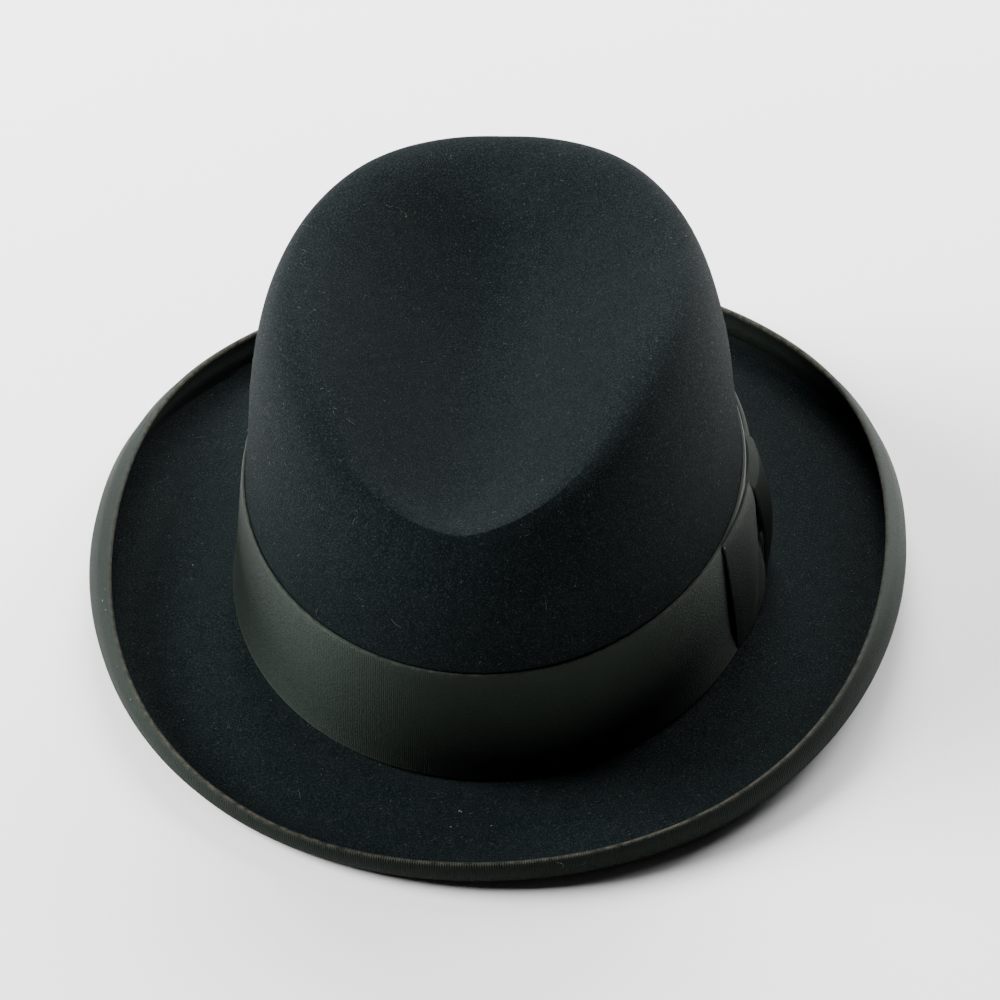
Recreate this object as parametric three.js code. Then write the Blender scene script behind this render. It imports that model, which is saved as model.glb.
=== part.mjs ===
import * as THREE from 'three';

// A homburg hat, standing on its brim as it would by itself.
// Millimetres, +Z up, front towards -Y, the wearer's left towards +X.
// The surface that it stands on is z = 0, and the brim is centred over the origin.
// An angle t runs round the hat: 0 at the front, a quarter turn at the wearer's left.

// Felt crown and brim, one wall blocked from one hood
const FELT_THICKNESS = 2;
const HEAD_HALF_WIDTH = 85.3;
const HEAD_HALF_LENGTH = 102.9;
const CROWN_FORWARD = 5.2;
const CROWN_FOOT_FRONT = 3.6;
const CROWN_FOOT_SIDE = 4.6;
const FOOT_FILLET = 1.6;
const SHOULDER_HEIGHT = 68.9;
const SHOULDER_HALF_WIDTH = 75.6;
const SHOULDER_HALF_LENGTH = 105.3;
const SHOULDER_FORWARD = 0.3;
const DOME_HEIGHT = 72.6;
const DOME_FORWARD = -4.8;
const DOME_RISE_POWER = 1.38;
const DOME_WIDTH_POWER = 4.37;
const DOME_LENGTH_POWER = 3.53;

// Centre crease, pressed into the dome from front to back
const CREASE_SHIFT = -1.3;
const CREASE_LEAN = 0.02;
const CREASE_TROUGH_POWER = 1.61;

// Brim, rolled up all round on a curl, its ends pressed flat where the hat stands
const BRIM_HALF_WIDTH = 132.3;
const BRIM_HALF_LENGTH = 150.5;
const BRIM_CORNER_FULLNESS = 0.008;
const CURL_RADIUS = 10.1;
const CURL_SIDE_LIFT = 4.6;
const CURL_CORNER_DROP = 1.6;
const CURL_LEFT_LIFT = 0.8;
const CURL_END_FRONT = 1;
const CURL_END_SIDE = 65;
const CURL_END_BACK = 6;
const CURL_END_UNEVENNESS = 6;
const REST_FLATTENING = 0.5;

// Grosgrain ribbons: hat band, edge binding and bow
const RIBBON_GAP = 0.3;
const BAND_THICKNESS = 1;
const BAND_HEIGHT = 43.5;
const BAND_FOOT_CLEARANCE = 0.9;
const BINDING_THICKNESS = 0.8;
const BINDING_OUTER_REACH = 16;
const BINDING_INNER_REACH = 10;
const BINDING_FLOOR_CLEARANCE = 0.1;
const BOW_ANGLE = 89.5;
const BOW_EDGE_CLEARANCE = 0.4;
const LOOP_LENGTH = 35;
const LOOP_KNOT_INSET = 2.75;
const FRONT_LOOP_RISE = 3;
const BACK_LOOP_RISE = 2.2;
const LOOP_PINCH = 0.45;
const KNOT_WIDTH = 25;
const KNOT_INSET = 1.35;
const KNOT_RISE = 5.6;
const KNOT_EDGE_RISE = 2.4;

// Leather sweatband inside the crown's foot
const SWEATBAND_GAP = 0.3;
const SWEATBAND_THICKNESS = 1;
const SWEATBAND_HEIGHT = 48;
const SWEATBAND_FOOT_CLEARANCE = 0.8;

// The crease's trough at stations from front to back
// along: place, share of the shoulder's half-length from its middle
// floor: height of the trough's bottom, share of the open crown's height
// steepness: climb of its walls out to the shoulder's half-width, share of the open crown's height
// roll: softness of the felt's turn over the ridge, share of the open crown's height
const CREASE = [
  { along: -1, floor: 0.676, steepness: 0.5, roll: 0.02 },
  { along: -0.88, floor: 0.632, steepness: 0.52, roll: 0.065 },
  { along: -0.76, floor: 0.598, steepness: 0.57, roll: 0.125 },
  { along: -0.63, floor: 0.575, steepness: 0.61, roll: 0.19 },
  { along: -0.48, floor: 0.559, steepness: 0.62, roll: 0.255 },
  { along: -0.3, floor: 0.545, steepness: 0.602, roll: 0.31 },
  { along: -0.08, floor: 0.543, steepness: 0.56, roll: 0.35 },
  { along: 0.16, floor: 0.564, steepness: 0.505, roll: 0.339 },
  { along: 0.4, floor: 0.617, steepness: 0.462, roll: 0.252 },
  { along: 0.6, floor: 0.69, steepness: 0.417, roll: 0.181 },
  { along: 0.8, floor: 0.759, steepness: 0.404, roll: 0.134 },
  { along: 1, floor: 0.847, steepness: 0.357, roll: 0.061 },
];

// How a bow loop stands off the band, from its folded end to the knot
// along: share of the loop's length
// rise: share of the loop's greatest rise
// pinch: share of the full pinch along its middle
const LOOP = [
  { along: 0, rise: 0.4, pinch: 0 },
  { along: 0.15, rise: 0.65, pinch: 0 },
  { along: 0.5, rise: 0.9, pinch: 0.15 },
  { along: 0.8, rise: 1, pinch: 0.6 },
  { along: 1, rise: 0.85, pinch: 1 },
];

// How finely each surface is divided
const SIDES = 56;
const CURL_SHARES = [0, 0.15, 0.3, 0.45, 0.6, 0.74, 0.87, 1];
const BRIM_SHARES = [0.22, 0.5, 0.8, 1];
const FILLET_SHARES = [0.5, 1];
const WALL_SHARES = [0.5, 1];
const RIDGE_SHARES = [0.3, 0.58, 0.8, 0.93, 1];
const TROUGH_SHARES = [0.94, 0.86, 0.75, 0.61, 0.45, 0.29, 0.14];
const BINDING_OUTER_SHARES = [1, 0.8, 0.6, 0.4, 0.2, 0];
const BINDING_NOSE_SHARES = [-1, 0, 1];
const BINDING_INNER_SHARES = [0, 0.33, 0.67, 1];
const LOOP_COLUMNS = 8;
const LOOP_ROWS = 6;
const KNOT_COLUMNS = 6;
const RIDGE_STEPS = 30;

const CROWN_HEIGHT = SHOULDER_HEIGHT + DOME_HEIGHT;
const { clamp, degToRad, lerp, smoothstep } = THREE.MathUtils;

// Smooth curve through one column of a table whose rows are placed by their along column
function tableValue(table, column, at) {
  let row = 0;
  while (row < table.length - 2 && table[row + 1].along <= at) {
    row += 1;
  }
  const span = table[row + 1].along - table[row].along;
  const slope = (low, high) => {
    const rise = table[high][column] - table[low][column];
    return span * rise / (table[high].along - table[low].along);
  };
  const share = clamp((at - table[row].along) / span, 0, 1);
  const square = share ** 2;
  const cube = share ** 3;
  return (2 * cube - 3 * square + 1) * table[row][column]
    + (cube - 2 * square + share) * slope(Math.max(row - 1, 0), row + 1)
    + (3 * square - 2 * cube) * table[row + 1][column]
    + (cube - square) * slope(row, Math.min(row + 2, table.length - 1));
}

function ovalPoint(t, halfWidth, halfLength, forward, height) {
  return new THREE.Vector3(halfWidth * Math.sin(t), -forward - halfLength * Math.cos(t), height);
}

function ovalNormal(t, halfWidth, halfLength) {
  return new THREE.Vector3(halfLength * Math.sin(t), -halfWidth * Math.cos(t), 0).normalize();
}

// 0 at front and back, 1 at the sides
function sideShare(t) {
  return Math.sin(t) ** 2;
}

function footHeight(t) {
  return lerp(CROWN_FOOT_FRONT, CROWN_FOOT_SIDE, sideShare(t));
}

// Point on the crown's outer wall at a height, moved outward by a distance
function wallPoint(t, height, outward) {
  const share = (height - CROWN_FOOT_FRONT) / SHOULDER_HEIGHT;
  const halfWidth = lerp(HEAD_HALF_WIDTH, SHOULDER_HALF_WIDTH, share);
  const halfLength = lerp(HEAD_HALF_LENGTH, SHOULDER_HALF_LENGTH, share);
  const point = ovalPoint(t, halfWidth, halfLength, CROWN_FORWARD + SHOULDER_FORWARD * share, height);
  return point.addScaledVector(ovalNormal(t, HEAD_HALF_WIDTH, HEAD_HALF_LENGTH), outward);
}

function crownWallPoint(t, share) {
  const height = lerp(footHeight(t) + FOOT_FILLET, CROWN_FOOT_FRONT + SHOULDER_HEIGHT, share);
  return wallPoint(t, height, 0);
}

// Quarter circle from the level brim up to the wall
function filletPoint(t, share) {
  const angle = share * Math.PI / 2;
  const height = footHeight(t) + FOOT_FILLET * (1 - Math.cos(angle));
  return wallPoint(t, height, FOOT_FILLET * (1 - Math.sin(angle)));
}

function smoothMinimum(first, second, roll) {
  const nearness = Math.max(roll - Math.abs(first - second), 0) / roll;
  return Math.min(first, second) - roll * nearness ** 2 / 4;
}

// Height of the trough's surface above the crown's foot, and how softly the felt turns into it
function troughAt(x, y) {
  const along = (y + CROWN_FORWARD + SHOULDER_FORWARD) / SHOULDER_HALF_LENGTH;
  const floor = CROWN_HEIGHT * tableValue(CREASE, 'floor', along);
  const steepness = CROWN_HEIGHT * tableValue(CREASE, 'steepness', along);
  const roll = CROWN_HEIGHT * tableValue(CREASE, 'roll', along);
  const aside = Math.abs(x - CREASE_SHIFT - CREASE_LEAN * y) / SHOULDER_HALF_WIDTH;
  return { height: floor + steepness * aside ** CREASE_TROUGH_POWER, roll };
}

// Open crown before creasing. left: 1 at the shoulder, 0 at the apex
function openCrownPoint(t, left) {
  const lengthShare = left ** (1 / DOME_LENGTH_POWER);
  const halfWidth = SHOULDER_HALF_WIDTH * left ** (1 / DOME_WIDTH_POWER);
  const forward = CROWN_FORWARD + lerp(DOME_FORWARD, SHOULDER_FORWARD, lengthShare);
  const height = SHOULDER_HEIGHT + DOME_HEIGHT * (1 - left) ** (1 / DOME_RISE_POWER);
  return ovalPoint(t, halfWidth, SHOULDER_HALF_LENGTH * lengthShare, forward, height);
}

// What is left of the dome where it meets the trough
function ridgeLeft(t) {
  let inside = 0;
  let outside = 1;
  for (let step = 0; step < RIDGE_STEPS; step += 1) {
    const middle = (inside + outside) / 2;
    const point = openCrownPoint(t, middle);
    if (point.z > troughAt(point.x, point.y).height) {
      inside = middle;
    } else {
      outside = middle;
    }
  }
  return outside;
}

function creasedPoint(t, left) {
  const point = openCrownPoint(t, left);
  const trough = troughAt(point.x, point.y);
  return point.setZ(CROWN_FOOT_FRONT + smoothMinimum(point.z, trough.height, trough.roll));
}

// share: 0 at the shoulder, 1 at the ridge
function ridgePoint(t, share) {
  const ridgeHeight = (1 - ridgeLeft(t)) ** (1 / DOME_RISE_POWER);
  return creasedPoint(t, 1 - (share * ridgeHeight) ** DOME_RISE_POWER);
}

// share: 1 at the ridge, 0 in the middle of the trough
function troughPoint(t, share) {
  return creasedPoint(t, ridgeLeft(t) * share ** DOME_WIDTH_POWER);
}

function curlLift(t) {
  const corner = CURL_CORNER_DROP * Math.sin(2 * t) ** 2;
  return CURL_SIDE_LIFT * sideShare(t) - corner + CURL_LEFT_LIFT * Math.sin(t);
}

// Angle above level at which the rolled edge ends, in radians
function curlEnd(t) {
  const ends = lerp(CURL_END_FRONT, CURL_END_BACK, (1 - Math.cos(t)) / 2);
  const uneven = CURL_END_UNEVENNESS * Math.sin(3 * t);
  return degToRad(lerp(ends, CURL_END_SIDE, sideShare(t) ** 2) + uneven);
}

function curlCentreHeight(t) {
  return CURL_RADIUS - REST_FLATTENING + curlLift(t);
}

// Point about the curl's centre line, at an angle above level
function curlPoint(t, angle, radius) {
  const height = curlCentreHeight(t) + radius * Math.sin(angle);
  const fullness = 1 + BRIM_CORNER_FULLNESS * Math.sin(2 * t) ** 2;
  const point = ovalPoint(t, BRIM_HALF_WIDTH * fullness, BRIM_HALF_LENGTH * fullness, 0, height);
  const normal = ovalNormal(t, BRIM_HALF_WIDTH, BRIM_HALF_LENGTH);
  return point.addScaledVector(normal, radius * Math.cos(angle) - CURL_RADIUS);
}

// share: 0 at the rolled edge, 1 where the brim lies level
function curlAngle(t, share) {
  return lerp(curlEnd(t), -Math.PI / 2, share);
}

// Upper face of the brim. share: 0 at the curl, 1 at the fillet
function brimPoint(t, share) {
  const start = curlPoint(t, curlAngle(t, 1), CURL_RADIUS - FELT_THICKNESS);
  const end = filletPoint(t, 0);
  const point = start.clone().lerp(end, share);
  return point.setZ(lerp(start.z, end.z, smoothstep(share, 0, 1)));
}

function geometryOf(points, triangles) {
  const geometry = new THREE.BufferGeometry();
  geometry.setFromPoints(points);
  geometry.setIndex(triangles);
  geometry.computeVertexNormals();
  return geometry;
}

function turn(side) {
  return 2 * Math.PI * side / SIDES;
}

function ring(pointAt) {
  return Array.from({ length: SIDES }, (_, side) => pointAt(turn(side)));
}

// Strip between two rings of points that start at these indices
function ringTriangles(first, second) {
  const triangles = [];
  for (let side = 0; side < SIDES; side += 1) {
    const next = (side + 1) % SIDES;
    triangles.push(first + side, first + next, second + next);
    triangles.push(first + side, second + next, second + side);
  }
  return triangles;
}

// Strips through rings that follow each other, closed by a fan to the last point
function skinTriangles(rings) {
  const triangles = [];
  for (let row = 0; row < rings - 1; row += 1) {
    triangles.push(...ringTriangles(row * SIDES, (row + 1) * SIDES));
  }
  const last = (rings - 1) * SIDES;
  for (let side = 0; side < SIDES; side += 1) {
    triangles.push(last + side, last + (side + 1) % SIDES, rings * SIDES);
  }
  return triangles;
}

// Upper skin from the rolled edge to the crease, lower skin beneath it, and a rounded edge
function feltBody() {
  const upperRadius = CURL_RADIUS - FELT_THICKNESS;
  const rows = [
    ...CURL_SHARES.map((share) => (t) => curlPoint(t, curlAngle(t, share), upperRadius)),
    ...BRIM_SHARES.map((share) => (t) => brimPoint(t, share)),
    ...FILLET_SHARES.map((share) => (t) => filletPoint(t, share)),
    ...WALL_SHARES.map((share) => (t) => crownWallPoint(t, share)),
    ...RIDGE_SHARES.map((share) => (t) => ridgePoint(t, share)),
    ...TROUGH_SHARES.map((share) => (t) => troughPoint(t, share)),
  ];
  const upper = rows.flatMap(ring);
  upper.push(troughPoint(0, 0));
  const skin = skinTriangles(rows.length);
  const normals = geometryOf(upper, skin).getAttribute('normal');
  const curl = CURL_SHARES.flatMap((share) => ring((t) => curlPoint(t, curlAngle(t, share), CURL_RADIUS)));
  const lower = upper.map((point, index) => {
    const normal = new THREE.Vector3().fromBufferAttribute(normals, index);
    return index < curl.length ? curl[index] : point.clone().addScaledVector(normal, -FELT_THICKNESS);
  });
  lower.forEach((point) => point.setZ(Math.max(point.z, 0)));
  const middle = CURL_RADIUS - FELT_THICKNESS / 2;
  const edge = ring((t) => curlPoint(t, curlEnd(t) + FELT_THICKNESS / 2 / middle, middle));
  const triangles = [
    ...skin,
    ...skin.map((index) => index + upper.length).reverse(),
    ...ringTriangles(upper.length, 2 * upper.length),
    ...ringTriangles(2 * upper.length, 0),
  ];
  return geometryOf([...upper, ...lower, ...edge], triangles);
}

// Closed ring. sectionAt gives the points round its section, up the outside and down the inside
function closedRing(sectionAt) {
  const places = sectionAt(0).length;
  const points = [];
  const triangles = [];
  for (let place = 0; place < places; place += 1) {
    points.push(...ring((t) => sectionAt(t)[place]));
    triangles.push(...ringTriangles(place * SIDES, ((place + 1) % places) * SIDES));
  }
  return geometryOf(points, triangles);
}

function bandFoot(t) {
  return footHeight(t) + BAND_FOOT_CLEARANCE;
}

function hatBand() {
  const outside = RIBBON_GAP + BAND_THICKNESS;
  return closedRing((t) => [
    wallPoint(t, bandFoot(t), outside),
    wallPoint(t, bandFoot(t) + BAND_HEIGHT, outside),
    wallPoint(t, bandFoot(t) + BAND_HEIGHT, RIBBON_GAP),
    wallPoint(t, footHeight(t) + FOOT_FILLET + RIBBON_GAP, RIBBON_GAP),
  ]);
}

function sweatband() {
  const outside = -FELT_THICKNESS - SWEATBAND_GAP;
  const inside = outside - SWEATBAND_THICKNESS;
  const foot = (t) => footHeight(t) - FELT_THICKNESS + SWEATBAND_FOOT_CLEARANCE;
  return closedRing((t) => [
    wallPoint(t, foot(t), outside),
    wallPoint(t, foot(t) + SWEATBAND_HEIGHT, outside),
    wallPoint(t, foot(t) + SWEATBAND_HEIGHT, inside),
    wallPoint(t, foot(t), inside),
  ]);
}

// Arc of the binding's outer leg, which ends just above the surface that the hat stands on
function bindingOuterArc(t) {
  const outerRadius = CURL_RADIUS + RIBBON_GAP + BINDING_THICKNESS;
  const room = (curlCentreHeight(t) - BINDING_FLOOR_CLEARANCE) / outerRadius;
  return Math.min(BINDING_OUTER_REACH / CURL_RADIUS, curlEnd(t) + Math.asin(Math.min(room, 1)));
}

// Line over the felt's rolled edge at a distance from the felt, outer leg first
function bindingLine(t, distance) {
  const outerRadius = CURL_RADIUS + distance;
  const innerRadius = CURL_RADIUS - FELT_THICKNESS - distance;
  const middle = CURL_RADIUS - FELT_THICKNESS / 2;
  const end = curlEnd(t);
  const outerArc = bindingOuterArc(t);
  const innerArc = BINDING_INNER_REACH / CURL_RADIUS;
  const outerLeg = BINDING_OUTER_SHARES.map((share) => curlPoint(t, end - outerArc * share, outerRadius));
  const innerLeg = BINDING_INNER_SHARES.map((share) => curlPoint(t, end - innerArc * share, innerRadius));
  const nose = BINDING_NOSE_SHARES.map((share) => {
    const angle = share * Math.PI / 4;
    const reach = FELT_THICKNESS / 2 + distance;
    const radius = middle - reach * Math.sin(angle);
    return curlPoint(t, end + reach * Math.cos(angle) / middle, radius);
  });
  return [...outerLeg, ...nose, ...innerLeg];
}

function brimBinding() {
  return closedRing((t) => [
    ...bindingLine(t, RIBBON_GAP + BINDING_THICKNESS),
    ...bindingLine(t, RIBBON_GAP).reverse(),
  ]);
}

// Closed patch lying on the band. riseAt gives its outer face above its inner one,
// halfHeightAt half its height; across runs 0 to 1 from start to end, up runs -1 to 1
function bandPatch(start, end, columns, riseAt, halfHeightAt) {
  const inside = 2 * RIBBON_GAP + BAND_THICKNESS;
  const points = [];
  const index = (layer, column, row) => (layer * (columns + 1) + column) * (LOOP_ROWS + 1) + row;
  [0, 1].forEach((layer) => {
    for (let column = 0; column <= columns; column += 1) {
      const across = column / columns;
      const t = lerp(start, end, across);
      for (let row = 0; row <= LOOP_ROWS; row += 1) {
        const up = 2 * row / LOOP_ROWS - 1;
        const height = bandFoot(t) + BAND_HEIGHT / 2 + halfHeightAt(across) * up;
        points.push(wallPoint(t, height, inside + (layer ? riseAt(across, up) : 0)));
      }
    }
  });
  const triangles = [];
  const quad = (a, b, c, d) => triangles.push(a, b, c, a, c, d);
  for (let column = 0; column < columns; column += 1) {
    for (let row = 0; row < LOOP_ROWS; row += 1) {
      const corners = [[column, row], [column + 1, row], [column + 1, row + 1], [column, row + 1]];
      quad(...corners.map((corner) => index(1, ...corner)));
      quad(...corners.map((corner) => index(0, ...corner)).reverse());
    }
    quad(index(1, column, 0), index(0, column, 0), index(0, column + 1, 0), index(1, column + 1, 0));
    quad(
      index(1, column + 1, LOOP_ROWS),
      index(0, column + 1, LOOP_ROWS),
      index(0, column, LOOP_ROWS),
      index(1, column, LOOP_ROWS),
    );
  }
  for (let row = 0; row < LOOP_ROWS; row += 1) {
    quad(index(1, 0, row + 1), index(0, 0, row + 1), index(0, 0, row), index(1, 0, row));
    quad(
      index(1, columns, row),
      index(0, columns, row),
      index(0, columns, row + 1),
      index(1, columns, row + 1),
    );
  }
  return geometryOf(points, triangles);
}

// Angle that a length takes up along the band at the wearer's left
function angleOf(length) {
  return length / (HEAD_HALF_LENGTH + RIBBON_GAP + BAND_THICKNESS);
}

// Bow loop in front of the knot (direction -1) or behind it (direction 1)
function bowLoop(direction, rise) {
  const middle = degToRad(BOW_ANGLE);
  const near = middle + direction * angleOf(KNOT_WIDTH / 2 + RIBBON_GAP);
  const far = near + direction * angleOf(LOOP_LENGTH);
  const alongOf = (across) => (direction < 0 ? across : 1 - across);
  const riseAt = (across, up) => {
    const pinch = LOOP_PINCH * tableValue(LOOP, 'pinch', alongOf(across)) * (1 - up ** 2) ** 2;
    return rise * tableValue(LOOP, 'rise', alongOf(across)) * (1 - pinch);
  };
  const halfHeightAt = (across) => {
    const inset = lerp(BOW_EDGE_CLEARANCE, LOOP_KNOT_INSET, alongOf(across) ** 2);
    return BAND_HEIGHT / 2 - inset;
  };
  return bandPatch(Math.min(near, far), Math.max(near, far), LOOP_COLUMNS, riseAt, halfHeightAt);
}

function bowKnot() {
  const middle = degToRad(BOW_ANGLE);
  const half = angleOf(KNOT_WIDTH / 2);
  const riseAt = (across, up) => {
    const bulge = Math.sin(across * Math.PI) * (1 - up ** 2);
    return lerp(KNOT_EDGE_RISE, KNOT_RISE, bulge);
  };
  const halfHeight = BAND_HEIGHT / 2 - KNOT_INSET;
  return bandPatch(middle - half, middle + half, KNOT_COLUMNS, riseAt, () => halfHeight);
}

function material(color, roughness) {
  return new THREE.MeshStandardMaterial({ color, roughness, metalness: 0 });
}

const felt = material(0x14191b, 0.95);
const ribbon = material(0x1d211e, 0.7);
const bindingRibbon = material(0x2a2f2b, 0.75);
const leather = material(0x4a3324, 0.6);

function piece(name, geometry, finish) {
  const mesh = new THREE.Mesh(geometry, finish.clone());
  mesh.name = name;
  return mesh;
}

const hat = new THREE.Group();
hat.add(piece('felt_body', feltBody(), felt));
hat.add(piece('hat_band', hatBand(), ribbon));
hat.add(piece('bow_front_loop', bowLoop(-1, FRONT_LOOP_RISE), ribbon));
hat.add(piece('bow_back_loop', bowLoop(1, BACK_LOOP_RISE), ribbon));
hat.add(piece('bow_knot', bowKnot(), ribbon));
hat.add(piece('brim_binding', brimBinding(), bindingRibbon));
hat.add(piece('sweatband', sweatband(), leather));

export default hat;
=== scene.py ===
"""Looks of a homburg hat: black fur felt, ribbed grosgrain ribbons and a leather sweatband.

Sizes are millimetres and become metres where a mesh is made. The angle t runs round the hat:
0 at the front, a quarter turn at the wearer's left, where the bow is.
"""

import math

import bpy
import numpy as np
from mathutils import Matrix, Vector


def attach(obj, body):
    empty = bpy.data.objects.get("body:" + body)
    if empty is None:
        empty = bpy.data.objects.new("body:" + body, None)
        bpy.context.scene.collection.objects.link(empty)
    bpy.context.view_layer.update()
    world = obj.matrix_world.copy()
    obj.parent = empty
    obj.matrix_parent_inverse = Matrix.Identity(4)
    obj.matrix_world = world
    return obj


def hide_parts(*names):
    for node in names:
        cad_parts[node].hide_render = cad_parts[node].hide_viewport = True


MM = 0.001
TAU = 2 * math.pi

# Felt crown and brim
FELT_THICKNESS = 2.0
HEAD_HALF_WIDTH = 85.3
HEAD_HALF_LENGTH = 102.9
CROWN_FORWARD = 5.2
CROWN_FOOT_FRONT = 3.6
CROWN_FOOT_SIDE = 4.6
FOOT_FILLET = 1.6
SHOULDER_HEIGHT = 68.9
SHOULDER_HALF_WIDTH = 75.6
SHOULDER_HALF_LENGTH = 105.3
SHOULDER_FORWARD = 0.3
DOME_HEIGHT = 72.6
DOME_FORWARD = -4.8
DOME_RISE_POWER = 1.38
DOME_WIDTH_POWER = 4.37
DOME_LENGTH_POWER = 3.53
CREASE_SHIFT = -1.3
CREASE_LEAN = 0.02
CREASE_TROUGH_POWER = 1.61
CROWN_HEIGHT = SHOULDER_HEIGHT + DOME_HEIGHT
LIP_PINCH = 0.8
LIP_HALF_WIDTH = 2.0
LIP_REACH = 0.35

# Rolled brim
BRIM_HALF_WIDTH = 132.3
BRIM_HALF_LENGTH = 150.5
BRIM_CORNER_FULLNESS = 0.008
CURL_RADIUS = 10.1
CURL_SIDE_LIFT = 4.6
CURL_CORNER_DROP = 1.6
CURL_LEFT_LIFT = 0.8
CURL_END_FRONT = 1.0
CURL_END_SIDE = 65.0
CURL_END_BACK = 6.0
CURL_END_UNEVENNESS = 6.0
REST_FLATTENING = 0.5

# The felt and its binding thin out towards the rolled edge
EDGE_THINNING_REACH = 6.0
FELT_EDGE_THINNING = 0.55
BINDING_EDGE_THINNING = 0.95
BINDING_BACK_THINNING = 0.75

# Ribbons
RIBBON_GAP = 0.3
BAND_THICKNESS = 1.0
BAND_HEIGHT = 43.5
BAND_FOOT_CLEARANCE = 0.9
BAND_RIB_PITCH = 0.66
BAND_RIB_DEPTH = 0.1
BAND_EDGE_HUG = 0.75
# Share of the band's paler edge colour, partly a painted highlight, that is left where the bow covers the
# band
BAND_COVERED_WEAR_AND_HIGHLIGHT = 0.15
BINDING_THICKNESS = 0.8
BINDING_OUTER_REACH = 16.0
BINDING_INNER_REACH = 10.0
BINDING_FLOOR_CLEARANCE = 0.1
BINDING_RIB_PITCH = 0.72
BINDING_RIB_DEPTH = 0.3
BINDING_FOLD_LENGTH = 4.0
COLUMNS_PER_RIB = 4
RIB_UNEVENNESS = 0.12
SIDE_RIB_CLEARNESS = 0.12

# The binding's rows: shares of the way down its outer leg, quarter turns round its fold, shares of
# the way down its inner leg, and which of these rows its back skin has as well
BINDING_OUTER_SHARES = (1, 0.72, 0.45, 0.2, 0)
BINDING_FOLD_TURNS = (-0.5, 0, 0.5)
BINDING_INNER_SHARES = (0, 0.2, 0.55, 1)
BINDING_BACK_ROWS = (11, 10, 9, 8, 6, 4, 0)

# Wear of the fold's rows, partly a painted highlight where the fold catches light; number of
# rows of the outer leg that are paler, partly with age and partly painted light that leaves the inner
# leg in painted shade; share of this paling that is left at the front and back, so that the sides are
# painted lighter where the light falls; and what the hollows between the ribs lose of both, as painted shade
BINDING_FOLD_WEAR_AND_HIGHLIGHT = (0.2, 0.9, 0.5)
BINDING_FADED_AND_LIT_ROWS = 7
BINDING_FRONT_FADING_AND_LIGHT = 0.35
GROOVE_SHADE_ON_WEAR = 0.4
GROOVE_SHADE_ON_FADING = 0.85

# Bow at the wearer's left
BOW_ANGLE = 89.5
BOW_EDGE_CLEARANCE = 0.4
BOW_THICKNESS = 0.8
BOW_FOLD_RADIUS = 0.36
BOW_RIB_DEPTH = 0.02
LOOP_LENGTH = 35.0
LOOP_TUCK = 4.5
LOOP_KNOT_INSET = 2.75
FRONT_LOOP_RISE = 3.0
BACK_LOOP_RISE = 2.2
LOOP_PINCH = 0.45
LOOP_OVERHANG = 0.35
LOOP_TOP_LEAN = 1.15
LOOP_LEAN_FROM = 0.95
LOOP_LEAN_THINNING = 0.6
LOOP_TUCK_FLATTENING = 0.5
KNOT_WIDTH = 25.0
KNOT_WAIST = 2.0
KNOT_INSET = 1.35
KNOT_EDGE_RISE = 1.5
KNOT_TOP_LEAN = 2.2
KNOT_LEAN_FROM = 0.8
KNOT_MIDDLE_RISE = 3.5
KNOT_EDGE_CREST = 0.9
KNOT_MIDDLE_CREST = 2.1

# Slanting crease in each loop. Its line passes one place, given as shares of the loop's length and
# half height, and it deepens along the loop and fades towards the loop's middle
LOOP_CREASE_DEPTH = 0.8
LOOP_CREASE_HALF_WIDTH = 3.0
LOOP_CREASE_ALONG = 0.95
LOOP_CREASE_UP = -0.05
LOOP_CREASE_SLANT = 0.66
LOOP_CREASE_NARROWING = 0.83
LOOP_CREASE_FROM = 0.3
LOOP_CREASE_DEEPENING = 2.2
LOOP_CREASE_FADING = 5.0

# Edges of the bow's faces and where their paler threads begin, as shares of the half height. The paler
# colour of these edge threads is partly a painted highlight where the edges catch light
BOW_EDGE_UP = 0.99
BOW_FACE_UP = 0.97
BOW_SELVAGE_UP = 0.975
BOW_EDGE_WEAR_AND_HIGHLIGHT = 0.5

# How finely the bow is divided
LOOP_FACE_ROWS = 27
KNOT_EDGE_SHARE = 0.06
KNOT_EDGE_COLUMNS = 5
KNOT_FACE_COLUMNS = 25

# Sweatband
SWEATBAND_GAP = 0.3
SWEATBAND_THICKNESS = 1.0
SWEATBAND_HEIGHT = 48.0
SWEATBAND_FOOT_CLEARANCE = 0.8
SWEATBAND_EDGE_ROUNDING = 0.3
SWEATBAND_COLUMNS = 240


def table(columns, *rows):
    return np.array(list(rows), dtype=[(column, float) for column in columns.split()])


# The crease's trough from front to back, as shares of the crown's sizes
# along: place from the crown's middle; floor: its bottom's height; steepness: climb of its
# walls at the shoulder's half width; roll: softness of the felt's turn over the ridges
CREASE = table(
    "along floor steepness roll",
    (-1.0, 0.676, 0.5, 0.02),
    (-0.88, 0.632, 0.52, 0.08),
    (-0.76, 0.598, 0.57, 0.15),
    (-0.63, 0.575, 0.61, 0.22),
    (-0.48, 0.559, 0.62, 0.28),
    (-0.3, 0.545, 0.602, 0.31),
    (-0.08, 0.543, 0.56, 0.35),
    (0.16, 0.564, 0.505, 0.339),
    (0.4, 0.617, 0.462, 0.252),
    (0.6, 0.69, 0.417, 0.181),
    (0.8, 0.759, 0.404, 0.134),
    (1.0, 0.847, 0.357, 0.061),
)

# A loop of the bow from its fold to the knot, as shares of the loop's greatest rise
# middle, top and bottom: rise along its middle and its two edges; pinch: share of the full
# pinch along its middle
LOOP = table(
    "along middle top bottom pinch",
    (0.0, 0.34, 0.09, 0.1, 0.0),
    (0.15, 0.56, 0.2, 0.32, 0.0),
    (0.5, 0.95, 0.34, 0.68, 0.15),
    (0.8, 1.0, 0.4, 0.76, 0.6),
    (1.0, 0.85, 0.32, 0.66, 1.0),
)
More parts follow.
